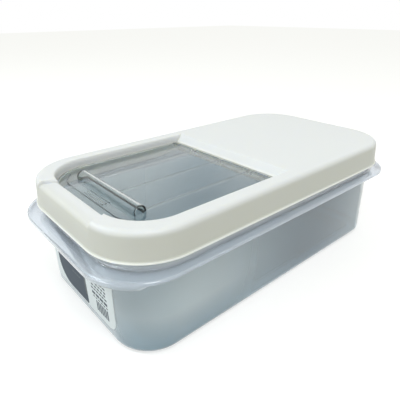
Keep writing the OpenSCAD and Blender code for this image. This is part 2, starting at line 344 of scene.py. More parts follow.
def skin(rings, closed=False):
    """Points and faces of a skin through rings, capped at both ends or closed on itself."""
    n = len(rings[0])
    verts = [p for ring in rings for p in ring]
    pairs = list(zip(range(len(rings)), range(1, len(rings))))
    if closed:
        pairs.append((len(rings) - 1, 0))
    faces = []
    for a, b in pairs:
        for i in range(n):
            j = (i + 1) % n
            faces.append((a * n + i, a * n + j, b * n + j, b * n + i))
    if not closed:
        faces.append(tuple(reversed(range(n))))
        faces.append(tuple((len(rings) - 1) * n + i for i in range(n)))
    return verts, faces


def plain_mesh(thing):
    """What an object's modifiers make of its mesh."""
    graph = bpy.context.evaluated_depsgraph_get()
    return bpy.data.meshes.new_from_object(thing.evaluated_get(graph))


def join_solids(body, added, removed):
    """The mesh of one solid with others united to it and others cut out of it."""
    for operation, tools in (("UNION", added), ("DIFFERENCE", removed)):
        for tool in tools:
            step = body.modifiers.new("join", "BOOLEAN")
            step.operation = operation
            step.solver = "EXACT"
            step.object = tool
    mesh = plain_mesh(body)
    for used in (body, *added, *removed):
        bpy.data.objects.remove(used)
    return mesh


def turned(stations, steps=40):
    """A solid turned about the hinge's axis, from (x, radius) stations."""
    turns = [math.tau * i / steps for i in range(steps)]
    rings = [
        [(x, HINGE_Y + r * math.cos(t), HINGE_Z + r * math.sin(t)) for t in turns]
        for x, r in stations
    ]
    return loose_solid(*skin(rings))


BAR_ROW_INPUTS = (
    ("Count", "NodeSocketInt"),
    ("First place", "NodeSocketVector"),
    ("Step", "NodeSocketVector"),
    ("Bar size", "NodeSocketVector"),
)


def bar_row_tree(material):
    """A node tree that sets equal bars in a row."""
    tree = bpy.data.node_groups.new("bar_row", "GeometryNodeTree")
    for name, kind in BAR_ROW_INPUTS:
        tree.interface.new_socket(name, in_out="INPUT", socket_type=kind)
    tree.interface.new_socket("Bars", in_out="OUTPUT", socket_type="NodeSocketGeometry")
    given = tree.nodes.new("NodeGroupInput")
    line = tree.nodes.new("GeometryNodeMeshLine")
    bar = tree.nodes.new("GeometryNodeMeshCube")
    placed = tree.nodes.new("GeometryNodeInstanceOnPoints")
    real = tree.nodes.new("GeometryNodeRealizeInstances")
    coat = tree.nodes.new("GeometryNodeSetMaterial")
    coat.inputs["Material"].default_value = material
    made = tree.nodes.new("NodeGroupOutput")
    for source, target in (
        (given.outputs["Count"], line.inputs["Count"]),
        (given.outputs["First place"], line.inputs["Start Location"]),
        (given.outputs["Step"], line.inputs["Offset"]),
        (given.outputs["Bar size"], bar.inputs["Size"]),
        (line.outputs["Mesh"], placed.inputs["Points"]),
        (bar.outputs["Mesh"], placed.inputs["Instance"]),
        (placed.outputs["Instances"], real.inputs["Geometry"]),
        (real.outputs["Geometry"], coat.inputs["Geometry"]),
        (coat.outputs["Geometry"], made.inputs["Bars"]),
    ):
        tree.links.new(source, target)
    return tree


def bar_row(tree, count, first, step, size, edge):
    """Equal bars in a row with softened edges: the middle of the first, the step and the size."""
    holder = add_object("bars", bpy.data.meshes.new("bars"))
    row = holder.modifiers.new("row", "NODES")
    row.node_group = tree
    sockets = {item.name: item.identifier for item in tree.interface.items_tree}
    row[sockets["Count"]] = count
    for name, value in (("First place", first), ("Step", step), ("Bar size", size)):
        row[sockets[name]] = [v * MM for v in value]
    mesh = plain_mesh(holder)
    holder.modifiers.remove(row)
    if edge:
        edit = bmesh.new()
        edit.from_mesh(mesh)
        bmesh.ops.bevel(
            edit, geom=edit.edges[:], offset=edge * MM, segments=2, profile=0.5, affect="EDGES"
        )
        edit.to_mesh(mesh)
        edit.free()
    holder.data = mesh
    return holder


# ---------------------------------------------------------------- tub

def wall_size(z):
    """Half the width and length of the tub's outer wall at height z, and its corner radius."""
    t = z / SHELF_TOP
    half = [between(FOOT_HALF[k], WALL_HALF[k], t) for k in (0, 1)]
    return half, between(FOOT_RADIUS, WALL_RADIUS, t)


def wall_ring(z, inset):
    half, radius = wall_size(z)
    return at_height(centred_outline(half, inset, radius), z)


def neck_ring(z, inset):
    return at_height(centred_outline(RIM_HALF, inset, RIM_RADIUS), z)


def shelf_ring(z, inset):
    return at_height(centred_outline(SHELF_HALF, inset, SHELF_RADIUS), z)


def pad_ring(z, inset):
    return at_height(centred_outline(PAD_HALF, inset, PAD_RADIUS), z)


def lip_ring(inset, lift):
    """A ring near the lip's lower edge, which is deep round the ends and shallow along the
    sides, with a slope between."""
    ring = []
    for x, y in centred_outline(SHELF_HALF, inset, SHELF_RADIUS):
        drop = between(SIDE_LIP, END_LIP, clamp((abs(y) - END_LIP_START) / LIP_SLOPE))
        ring.append((x, y, SHELF_TOP - drop + lift))
    return ring


def tub_rings():
    """The tub's skin, from under the floor up its outside, over the rim and down its inside."""
    underside = SHELF_TOP - SHELF_THICKNESS
    above_round = 6.0
    # the foot, with a shallow hollow under the floor
    rings = [pad_ring(HOLLOW_RISE, 1), pad_ring(0, -1)]
    for c, s in arc(10):
        rings.append(wall_ring(FOOT_ROUND * (1 - c), FOOT_ROUND * (1 - s)))
    # up the wall to the underside of the shelf, with a small fillet
    for z in spread(FOOT_ROUND + above_round, underside - FILLET, 6):
        rings.append(wall_ring(z, 0))
    for c, s in arc(4)[1:]:
        rings.append(wall_ring(underside - FILLET + FILLET * s, -FILLET * (1 - c)))
    # down the inside of the lip, softened where it leaves the shelf, and up its outside
    rings.append(shelf_ring(underside, SHELF_THICKNESS + 0.8))
    rings.append(shelf_ring(underside - 0.5, SHELF_THICKNESS))
    for inset, lift in (
        (SHELF_THICKNESS, 0.3), (SHELF_THICKNESS - 0.3, 0.05), (LIP_EDGE, 0),
        (LIP_EDGE * 0.3, LIP_EDGE * 0.3), (0, LIP_EDGE),
    ):
        rings.append(lip_ring(inset, lift))
    for c, s in arc(6):
        rings.append(shelf_ring(SHELF_TOP - SHOULDER * (1 - s), SHOULDER * (1 - c)))
    # the top of the shelf, the neck and the rim
    rings += mix_rings(rings[-1], neck_ring(SHELF_TOP, -FILLET), 3)
    for c, s in arc(4):
        rings.append(neck_ring(SHELF_TOP + FILLET * (1 - c), -FILLET * (1 - s)))
    r = TUB_WALL / 2
    for a in spread(0, 180, 8):
        turn = math.radians(a)
        rings.append(neck_ring(RIM_HEIGHT - r + r * math.sin(turn), r - r * math.cos(turn)))
    # down the inside of the neck, over the step at the shelf, and on down to the floor
    soft = NECK_STEP * 0.3
    rings.append(neck_ring(SHELF_TOP + NECK_STEP, TUB_WALL))
    rings.append(neck_ring(SHELF_TOP + soft, TUB_WALL + soft))
    rings.append(neck_ring(SHELF_TOP, TUB_WALL + NECK_STEP))
    rings.append(wall_ring(SHELF_TOP, TUB_WALL - NECK_STEP))
    rings.append(wall_ring(SHELF_TOP - soft, TUB_WALL - soft))
    inner_round = FOOT_ROUND - TUB_WALL
    for z in spread(SHELF_TOP - NECK_STEP, FLOOR + inner_round + above_round, 6):
        rings.append(wall_ring(z, TUB_WALL))
    for c, s in reversed(arc(10)):
        rings.append(wall_ring(FLOOR + inner_round * (1 - c), TUB_WALL + inner_round * (1 - s)))
    # the raised pad on the floor
    for c, s in arc(3):
        rings.append(pad_ring(FLOOR + PAD_RISE * s * 0.5, PAD_EDGE * (1 - c)))
    for c, s in reversed(arc(3)[:-1]):
        rings.append(pad_ring(FLOOR + PAD_RISE * (1 - s * 0.5), PAD_EDGE + PAD_EDGE * c))
    return rings


def add_tub(material):
    """The tub with its shelf, in one closed skin."""
    verts, faces = skin(tub_rings())
    tub = make_piece("tub_moulding", verts, faces, "tub", material)
    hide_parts("tub")


# ---------------------------------------------------------------- cap

def dip_end(y):
    """Half the dip's width at y: it narrows from the cap's front edge to the window."""
    t = (y - DIP_FRONT) / (WINDOW_FRONT - DIP_FRONT)
    return between(DIP_OUTER, DIP_INNER, clamp(t))


def dipped(ring, low, high):
    """Lowers the front band where the cap's top dips: fully above the height high, and not at
    all below low. The dip's ends slope over one millimetre."""
    lowered = []
    for x, y, z in ring:
        drop = DIP_DEPTH * smooth(dip_end(y) + 0.5 - abs(x)) * smooth((z - low) / (high - low))
        lowered.append((x, y, z - drop if y < WINDOW_FRONT + WINDOW_RADIUS else z))
    return lowered


def cap_ring(z, inset):
    """The cap's outside at height z, moved inwards."""
    straight = CAP_TOP - CAP_ROUND
    t = min(1, (z - SKIRT_BOTTOM) / (straight - SKIRT_BOTTOM))
    x, y = (side - SKIRT_FLARE * t - inset for side in SKIRT_HALF)
    r = SKIRT_RADIUS - SKIRT_FLARE * t - inset
    marks = [DIP_OUTER + step for step in DIP_STEPS]
    return at_height(rounded_outline((-x, -y), (x, y), r, r, marks), z)


def window_ring(z, grow, rear):
    """The window's outline at height z, grown outwards, with a straight rear edge at y = rear.
    Its sides have as many points as the cap's, two of them close together where the ledge ends."""
    corner, beside, gap = 0.8, 0.1, 4.0
    rear_steps = 5
    front_steps = SIDE_STEPS - rear_steps - 2
    run = spread(WINDOW_FRONT + WINDOW_RADIUS, LEDGE_REAR - gap, front_steps)[1:]
    run += [LEDGE_REAR - beside, LEDGE_REAR + beside]
    run += spread(LEDGE_REAR + beside, rear - corner, rear_steps)[1:-1]
    half = WINDOW_HALF + grow
    low, high = (-half, WINDOW_FRONT - grow), (half, rear)
    marks = [DIP_INNER + step for step in DIP_STEPS]
    return at_height(rounded_outline(low, high, WINDOW_RADIUS + grow, corner, marks, run), z)


def window_rear(z):
    """How far back the window's rear face reaches at height z, on the slope and below it."""
    return WINDOW_REAR + max(0, z - (CAP_TOP - REAR_SLOPE))


def ledge_ring(z):
    """The ledge's inner edge, which stops in front of the hinge."""
    wide, narrow = window_ring(z, 0, WINDOW_REAR), window_ring(z, -LEDGE_WIDTH, WINDOW_REAR)
    return [n if w[1] < LEDGE_REAR else w for w, n in zip(wide, narrow)]


def collar_ring(z):
    """The outside of the collar."""
    slope = max(0, z - (CAP_TOP - REAR_SLOPE - COLLAR_WALL / 2))
    return window_ring(z, COLLAR_WALL, WINDOW_REAR + COLLAR_WALL + slope)


def raised(ring):
    """Lifts a ring of the collar at the rear, where the collar is shorter."""
    return [
        (x, y, z + REAR_RISE * smooth((y - REAR_RISE_FROM) / REAR_RISE_RUN)) for x, y, z in ring
    ]


def cap_rings():
    """The cap's skin, from its lower edge up the outside, over the top, down and up the collar
    and down the inside of the skirt."""
    straight = CAP_TOP - CAP_ROUND
    underside = CAP_TOP - CAP_WALL
    skirt_dip = (straight - 4, straight + 1)
    top_dip = (CAP_TOP - 2, CAP_TOP - 1)
    window_dip = (CAP_TOP - 7, CAP_TOP - 2)
    # the bead on the lower edge of the skirt, with a sloping upper face
    rings = [cap_ring(SKIRT_BOTTOM, 0.3)]
    for up, out in (
        (0, 0.7), (0.06, 0.88), (0.16, 0.97), (0.3, 1), (0.42, 0.95), (0.9, 0.1), (1, 0),
    ):
        rings.append(cap_ring(SKIRT_BOTTOM + BEAD_HEIGHT * up, -BEAD_LIP * out))
    # up the skirt and over the rounded edge of the top
    for z in spread(SKIRT_BOTTOM + BEAD_HEIGHT + 0.6, straight, 6):
        rings.append(dipped(cap_ring(z, 0), *skirt_dip))
    for c, s in arc(10)[1:]:
        ring = cap_ring(straight + CAP_ROUND * s, CAP_ROUND * (1 - c))
        rings.append(dipped(ring, *skirt_dip))
    # across the top to the window and down its collar
    flat = cap_ring(CAP_TOP, CAP_ROUND)
    crest = window_ring(CAP_TOP, CREST_WIDTH, window_rear(CAP_TOP) + CREST_WIDTH / 2)
    for ring in mix_rings(flat, crest, 8) + [crest]:
        rings.append(dipped(ring, *top_dip))
    for c, s in arc(9)[1:]:
        z = CAP_TOP - CREST_DEPTH * (1 - c)
        ring = window_ring(z, CREST_WIDTH * (1 - s), window_rear(z))
        rings.append(dipped(ring, *window_dip))
    for z in (CAP_TOP - REAR_SLOPE + 0.3, CAP_TOP - REAR_SLOPE, LEDGE_TOP):
        rings.append(dipped(window_ring(z, 0, window_rear(z)), *window_dip))
    # the ledge that carries the flip lid, and the collar's inside and lower edge
    rings.append(ledge_ring(LEDGE_TOP))
    rings.append(ledge_ring(LEDGE_TOP - LEDGE_THICKNESS))
    rings.append(window_ring(LEDGE_TOP - LEDGE_THICKNESS, 0, WINDOW_REAR))
    rings.append(raised(window_ring(COLLAR_BOTTOM + 0.6, 0, WINDOW_REAR)))
    half_wall = COLLAR_WALL / 2
    for a in spread(0, 180, 6):
        turn = math.radians(a)
        grow = half_wall * (1 - math.cos(turn))
        z = COLLAR_BOTTOM + half_wall * (1 - math.sin(turn))
        rings.append(raised(window_ring(z, grow, WINDOW_REAR + grow)))
    # up the outside of the collar, across the underside and down inside the skirt
    rings.append(raised(collar_ring(COLLAR_BOTTOM + 4)))
    for z in (CAP_TOP - REAR_SLOPE - half_wall, underside - 3, underside):
        rings.append(dipped(collar_ring(z), *window_dip))
    inner_round = CAP_ROUND - CAP_WALL
    under = dipped(cap_ring(underside, CAP_WALL + inner_round), *skirt_dip)
    rings += mix_rings(rings[-1], under, 6)
    for c, s in reversed(arc(6)):
        ring = cap_ring(straight + inner_round * s, CAP_WALL + inner_round * (1 - c))
        rings.append(dipped(ring, *skirt_dip))
    for z in reversed(spread(SKIRT_BOTTOM, straight, 5)[:-1]):
        rings.append(cap_ring(z, CAP_WALL))
    return rings


def add_cap(material):
    """The white cap, with a blind socket for the lid's pin on each side of its collar."""
    shell = loose_solid(*skin(cap_rings(), closed=True))
    bore_radius = PIN_RADIUS + PIN_CLEARANCE
    sockets, bores = [], []
    for side in (-1, 1):
        sockets.append(turned([
            (side * (WINDOW_HALF + COLLAR_WALL / 2), SOCKET_RADIUS),
            (side * (SOCKET_END - SOCKET_EDGE), SOCKET_RADIUS),
            (side * SOCKET_END, SOCKET_RADIUS - SOCKET_EDGE),
        ]))
        bores.append(turned([
            (side * (WINDOW_HALF - OVERLAP), bore_radius), (side * SOCKET_DEPTH, bore_radius),
        ]))
    mesh = join_solids(shell, sockets, bores)
    cap = finish_piece("cap_moulding", mesh, "cap", material)
    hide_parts("cap")


# ---------------------------------------------------------------- flip lid

def lid_outline(inset):
    """The flip lid's edge, moved inwards, as far back as the middle of its hinge."""
    half = WINDOW_HALF - PLATE_PLAY - inset
    front = WINDOW_FRONT + PLATE_PLAY + inset
    r = WINDOW_RADIUS - PLATE_PLAY - inset
    rear_corner = 0.4
    return rounded_outline((-half, front), (half, HINGE_Y), r, rear_corner)


def lid_plate():
    """The flat plate, with rounded edges."""
    rings = []
    for c, s in arc(4):
        z = PLATE_BOTTOM + PLATE_EDGE * (1 - c)
        rings.append(at_height(lid_outline(PLATE_EDGE * (1 - s)), z))
    for c, s in arc(4):
        z = FACE - PLATE_EDGE * (1 - s)
        rings.append(at_height(lid_outline(PLATE_EDGE * (1 - c)), z))
    return loose_solid(*skin(rings))


def hinge_barrel():
    """The barrel along the lid's rear edge with a pin at each end."""
    half = WINDOW_HALF - PLATE_PLAY
    side = [
        (PIN_END, PIN_RADIUS - PIN_EDGE), (PIN_END - PIN_EDGE, PIN_RADIUS), (half, PIN_RADIUS),
        (half, BARREL_RADIUS - PIN_EDGE), (half - PIN_EDGE, BARREL_RADIUS),
    ]
    return turned([(-x, r) for x, r in side] + [(x, r) for x, r in reversed(side)])


def grip_solid(inset, bottom, half):
    """The grip's half-round bar along X, or the hollow in it, with softened ends."""
    turns = [math.radians(a) for a in spread(0, 180, 32)]
    soft = 0.3 * GRIP_EDGE
    rings = []
    for x, pull in (
        (-half, GRIP_EDGE), (-half + soft, soft), (-half + GRIP_EDGE, 0),
        (half - GRIP_EDGE, 0), (half - soft, soft), (half, GRIP_EDGE),
    ):
        r = GRIP_RADIUS - inset - pull
        arch = [(x, GRIP_Y + r * math.cos(t), GRIP_AXIS_Z + r * math.sin(t)) for t in turns]
        rings.append([(x, GRIP_Y + r, bottom)] + arch + [(x, GRIP_Y - r, bottom)])
    return loose_solid(*skin(rings))


def well_ridge():
    """The low ridge round the front of the finger well, open towards the grip."""
    half = WINDOW_HALF - WELL_INSET
    front = WINDOW_FRONT + WELL_INSET
    r = WINDOW_RADIUS - WELL_INSET
    end = math.acos((front + r - (GRIP_Y - GRIP_RADIUS - RIDGE_WIDTH)) / r)
    turns = spread(0, end, 24)
    path = [(-1, t) for t in reversed(turns)] + [(1, t) for t in turns]
    shoulder = RIDGE_HEIGHT - RIDGE_EDGE
    section = (
        (0, -RIDGE_SINK), (0, shoulder), (RIDGE_EDGE, RIDGE_HEIGHT),
        (RIDGE_WIDTH - RIDGE_EDGE, RIDGE_HEIGHT), (RIDGE_WIDTH, shoulder),
        (RIDGE_WIDTH, -RIDGE_SINK),
    )
    rings = []
    for side, t in path:
        ring = []
        for inset, z in section:
            x = side * (half - r + (r - inset) * math.sin(t))
            ring.append((x, front + r - (r - inset) * math.cos(t), FACE + z))
        rings.append(ring)
    return loose_solid(*skin(rings))


def add_flip_lid(material):
    """The clear lid in one closed mesh: plate, hinge, ribs, grip and ridges."""
    bars = bar_row_tree(material)
    rib_front = GRIP_Y + GRIP_RADIUS - RIDGE_SINK
    rib_length = HINGE_Y - rib_front
    ribs = bar_row(
        bars, 3,
        (-RIB_SPACING, rib_front + rib_length / 2, PLATE_BOTTOM - (RIB_DEPTH - RIDGE_SINK) / 2),
        (RIB_SPACING, 0, 0),
        (RIB_WIDTH, rib_length, RIB_DEPTH + RIDGE_SINK),
        RIB_EDGE,
    )
    first_ridge = GRIP_Y - GRIP_RADIUS - THUMB_OFFSET - THUMB_SPACING
    thumb_ridges = bar_row(
        bars, 3,
        (0, first_ridge, FACE + (RIDGE_HEIGHT - RIDGE_SINK) / 2),
        (0, THUMB_SPACING, 0),
        (THUMB_LENGTH, RIDGE_WIDTH, RIDGE_HEIGHT + RIDGE_SINK),
        RIDGE_EDGE,
    )
    slot_top = HINGE_Z + BARREL_RADIUS - BARREL_BRIDGE
    slots = bar_row(
        bars, 3,
        (-RIB_SPACING, HINGE_Y, slot_top - SLOT_DEPTH / 2),
        (RIB_SPACING, 0, 0),
        (BARREL_SLOT, 2 * (BARREL_RADIUS + OVERLAP), SLOT_DEPTH),
        0,
    )
    grip = grip_solid(0, PLATE_BOTTOM + OVERLAP, GRIP_HALF)
    hollow = grip_solid(GRIP_WALL, PLATE_BOTTOM - OVERLAP, GRIP_HALF - GRIP_WALL)
    added = [hinge_barrel(), ribs, grip, well_ridge(), thumb_ridges]
    mesh = join_solids(lid_plate(), added, [hollow, slots])
    lid = finish_piece("flip_lid_moulding", mesh, "flip_lid", material, 38)
    even = lid.modifiers.new("even_shading", "WEIGHTED_NORMAL")
    even.keep_sharp = True
    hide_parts("flip_lid")


# ---------------------------------------------------------------- label

def on_front_wall(x, z, lift):
    """The point of the front wall at x and z, lifted off the wall."""
    half, radius = wall_size(z)
    half_w, half_l = (side + lift for side in half)
    r = radius + lift
    past = max(0, abs(x) - (half_w - r))
    return (x, -half_l + r - math.sqrt(max(0, r * r - past * past)), z)


def sticker(box, corners, lift, thickness):
    """A thin closed sheet on the front wall, with the radius of its left and right corners."""
    (low, high), (left, right) = box, corners
    columns, rows = 48, 40
    verts, faces = [], []
    # the points of its inner and outer face, row by row, narrower where the corners are round
    for layer in (lift, lift + thickness):
        for z in spread(low.z, high.z, rows):
            ends = []
            for sign, edge, r in ((-1, low.x, left), (1, high.x, right)):
                into = max(0, r - min(z - low.z, high.z - z))
                ends.append(edge - sign * (r - math.sqrt(max(0, r * r - into * into))))
            verts += [on_front_wall(x, z, layer) for x in spread(*ends, columns)]
    wide = columns + 1
    count = wide * (rows + 1)
    for j in range(rows):
        for i in range(columns):
            a = j * wide + i
            faces.append((a, a + wide, a + wide + 1, a + 1))
            faces.append((count + a, count + a + 1, count + a + wide + 1, count + a + wide))
    # the narrow faces round its edge
    rim = list(range(columns))
    rim += [j * wide + columns for j in range(rows)]
    rim += [rows * wide + i for i in range(columns, 0, -1)]
    rim += [j * wide for j in range(rows, 0, -1)]
    for a, b in zip(rim, rim[1:] + rim[:1]):
        faces.append((a, b, count + b, count + a))
    return verts, faces


def add_print(name, rows, lift, material):
    """Rows of plain bars, laid on the front wall at a lift."""
    tree = bar_row_tree(material)
    verts, faces = [], []
    for count, x, z, step, width, height in rows:
        row = bar_row(tree, count, (x, 0, z), (step, 0, 0), (width, PRINT_DEPTH, height), 0)
        start = len(verts)
        for vertex in row.data.vertices:
            at_x, depth, at_z = vertex.co / MM
            verts.append(on_front_wall(at_x, at_z, lift - depth))
        faces += [[start + i for i in face.vertices] for face in row.data.polygons]
        bpy.data.objects.remove(row)
    make_piece(name, verts, faces, "tub", material)


def add_label(paper, ink, faded_ink):
    """The sticker on the front wall, its dark field, and print that is only plain bars."""
    verts, faces = sticker(STICKER_BOX, STICKER_CORNERS, GLUE, PAPER_LIFT - GLUE)
    label = make_piece("front_sticker", verts, faces, "tub", paper)
    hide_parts("front_label")
    verts, faces = sticker(FIELD_BOX, FIELD_CORNERS, PAPER_LIFT - GLUE, FIELD_DEPTH)
    panel = make_piece("dark_field", verts, faces, "tub", ink)
    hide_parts("label_panel")
    add_print("fine_print", SMALL_PRINT, PAPER_LIFT, ink)
    add_print("field_print", FIELD_PRINT, PAPER_LIFT + FIELD_DEPTH - GLUE, faded_ink)


# ---------------------------------------------------------------- materials

def new_material(name):
    """A material with its node tree and its main shader."""
    material = bpy.data.materials.new(name)
    material.use_nodes = True
    tree = material.node_tree
    shader = tree.nodes["Principled BSDF"]
    return material, tree, shader


def node(tree, kind, inputs=(), **settings):
    """A shader node with its settings and its plain input values."""
    made = tree.nodes.new(kind)
    for key, value in settings.items():
        setattr(made, key, value)
    for key, value in dict(inputs).items():
        made.inputs[key].default_value = value
    return made


def place(tree):
    """The place on the piece, in metres."""
    return node(tree, "ShaderNodeTexCoord").outputs["Object"]


def noise(tree, scale, detail):
    """Soft random patches, scale of them to a metre."""
    made = node(tree, "ShaderNodeTexNoise", {"Scale": scale, "Detail": detail})
    tree.links.new(place(tree), made.inputs["Vector"])
    return made.outputs["Fac"]


def ramp(tree, source, start, end):
    """0 where source is at start or before it, and 1 from end on."""
    made = node(tree, "ShaderNodeMapRange", {"From Min": start, "From Max": end})
    tree.links.new(source, made.inputs["Value"])
    return made.outputs["Result"]


def height_zone(tree, start, end):
    """0 to 1 as the height goes from start to end, in millimetres."""
    parts = node(tree, "ShaderNodeSeparateXYZ")
    tree.links.new(place(tree), parts.inputs[0])
    return ramp(tree, parts.outputs["Z"], start * MM, end * MM)


def flow_and_light_bands(tree, wavelength, crest):
    """Soft bands across the length of the bin, brightest at y = crest, in metres."""
    radians_per_unit = 20
    wave = node(
        tree, "ShaderNodeTexWave",
        {
            "Scale": math.tau / wavelength / radians_per_unit,
            "Distortion": 1.2,
            "Detail": 1.0,
            "Detail Scale": 0.5,
            "Phase Offset": math.pi - math.tau / wavelength * crest,
        },
        wave_type="BANDS", bands_direction="Y", wave_profile="SIN",
    )
    tree.links.new(place(tree), wave.inputs["Vector"])
    return wave.outputs["Fac"]


def edge_zone(tree, start, end):
    """0 on flat and hollow places and 1 on sharp outer edges."""
    form = node(tree, "ShaderNodeNewGeometry")
    return ramp(tree, form.outputs["Pointiness"], start, end)


def combine(tree, work, *sources):
    """One number from two or more: MULTIPLY is where all zones meet, MAXIMUM is any of them."""
    last = sources[0]
    for source in sources[1:]:
        step = node(tree, "ShaderNodeMath", operation=work)
        tree.links.new(last, step.inputs[0])
        tree.links.new(source, step.inputs[1])
        last = step.outputs[0]
    return last


def outline_zone(tree, half, radius, start, end):
    """0 to 1 from start to end, which are counted outwards from a rounded outline, in
    millimetres. Inside the outline they are negative."""
    corner = [(side - radius) * MM for side in half] + [0]
    last = place(tree)
    for work, other in (
        ("ABSOLUTE", None), ("SUBTRACT", corner), ("MAXIMUM", (0, 0, 0)), ("MULTIPLY", (1, 1, 0)),
        ("LENGTH", None),
    ):
        step = node(tree, "ShaderNodeVectorMath", operation=work)
        tree.links.new(last, step.inputs[0])
        if other:
            step.inputs[1].default_value = other
        last = step.outputs["Value" if work == "LENGTH" else "Vector"]
    return ramp(tree, last, (radius + start) * MM, (radius + end) * MM)


def mix_colours(tree, factor, first, second):
    """first where factor is 0 and second where it is 1; each is a socket or a colour."""
    made = node(tree, "ShaderNodeMix", data_type="RGBA")
    tree.links.new(factor, made.inputs["Factor"])
    for name, given in (("A", first), ("B", second)):
        if isinstance(given, tuple):
            made.inputs[name].default_value = (*given, 1)
        else:
            tree.links.new(given, made.inputs[name])
    return made.outputs["Result"]


def mix_numbers(tree, factor, first, second):
    """The same for numbers."""
    made = node(tree, "ShaderNodeMix", data_type="FLOAT")
    tree.links.new(factor, made.inputs["Factor"])
    for name, given in (("A", first), ("B", second)):
        if isinstance(given, float):
            made.inputs[name].default_value = given
        else:
            tree.links.new(given, made.inputs[name])
    return made.outputs["Result"]


def bump(tree, shader, source, strength, depth):
    """Bumps that stand depth millimetres high where source is 1."""
    made = node(tree, "ShaderNodeBump", {"Strength": strength, "Distance": depth * MM})
    tree.links.new(source, made.inputs["Height"])
    tree.links.new(made.outputs["Normal"], shader.inputs["Normal"])


def clear_tub_material():
    """Milky polypropylene with faint moulding bands, paler at the shelf, with light and shade
    painted in: the bands lighter under the window and darker under the cap, painted shade at the
    floor and low on the wall, the neck painted lighter outside and darker inside, and painted
    highlights on sharp edges, the lip and the pad's step.
    """
    material, tree, shader = new_material("clear_polypropylene")
    haze = noise(tree, 9, 2)
    grain = noise(tree, 700, 2)
    # painted light and shade: moulding bands set lightest near the front, under the clear lid, and
    # darkest towards the rear, under the cap
    flow_and_painted_light = flow_and_light_bands(tree, wavelength=0.34, crest=-0.12)

    # where the plastic looks different or has light and shade painted in, with heights and
    # distances in millimetres
    # painted shade: darker at the floor and the foot, from 7 mm down to 3 mm
    floor = height_zone(tree, 7, 3)
    # painted shade: where the bands are light, the wall darkens from 38 mm down to 8 mm
    low_painted_shade = combine(tree, "MULTIPLY", height_zone(tree, 38, 8), flow_and_painted_light)
    outside = outline_zone(tree, RIM_HALF, RIM_RADIUS, -3.6, -2.8)
    # the shelf above 78 mm is given a paler, less clear tone, and sharp outer edges, picked out by
    # pointiness, get the same tone as a painted highlight
    pale = combine(tree, "MAXIMUM", height_zone(tree, 78, 83), edge_zone(tree, 0.52, 0.58))
    pale = combine(tree, "MULTIPLY", pale, outside)
    # painted highlight: near white along the shelf lip's sharp lower edge
    painted_lip_highlight = combine(
        tree, "MULTIPLY", edge_zone(tree, 0.53, 0.57), height_zone(tree, 84, 83.6),
        outline_zone(tree, SHELF_HALF, SHELF_RADIUS, -1.6, -1.0),
    )
    # painted highlight: a pale line round the edge of the floor pad
    painted_pad_highlight = combine(
        tree, "MULTIPLY", outline_zone(tree, PAD_HALF, PAD_RADIUS, -1.5, -0.5),
        outline_zone(tree, PAD_HALF, PAD_RADIUS, 1.5, 0.5), height_zone(tree, 6, 5),
    )
    # painted light and shade: the neck's outside is lighter where the skirt shades it, and its
    # inside darker
    neck = combine(tree, "MULTIPLY", height_zone(tree, 86, 89), height_zone(tree, 101, 97))
    rim_inside = outline_zone(tree, RIM_HALF, RIM_RADIUS, -0.6, -1.6)
    neck_painted_light_and_shade = mix_colours(tree, rim_inside, (0.86, 0.90, 0.945), (0.45, 0.55, 0.61))

    # each zone's colour and clearness, laid over the ones before it
    # painted light and shade: the bands' dark colour lies under the cap and their light colour
    # under the window
    colour = mix_colours(tree, flow_and_painted_light, (0.12, 0.23, 0.30), (0.72, 0.82, 0.87))
    for zone, zone_colour in (
        (low_painted_shade, (0.31, 0.47, 0.57)),
        (floor, (0.22, 0.34, 0.42)),
        (pale, (0.77, 0.83, 0.91)),
        (painted_lip_highlight, (0.97, 0.99, 1.0)),
        (painted_pad_highlight, (0.90, 0.94, 0.96)),
        (neck, neck_painted_light_and_shade),
    ):
        colour = mix_colours(tree, zone, colour, zone_colour)
    clear = mix_numbers(tree, flow_and_painted_light, 0.88, 0.52)
    for zone, zone_clear in ((pale, 0.7), (painted_lip_highlight, 0.3), (neck, 0.52), (painted_pad_highlight, 0.4)):
        clear = mix_numbers(tree, zone, clear, zone_clear)

    link = tree.links.new
    link(colour, shader.inputs["Base Color"])
    link(clear, shader.inputs["Transmission Weight"])
    link(mix_numbers(tree, haze, 0.0, 0.02), shader.inputs["Roughness"])
    shader.inputs["IOR"].default_value = 1.49
    shader.inputs["Coat Weight"].default_value = 1.0
    shader.inputs["Coat Roughness"].default_value = 0.05
    bump(tree, shader, grain, 0.04, 0.05)
    return material


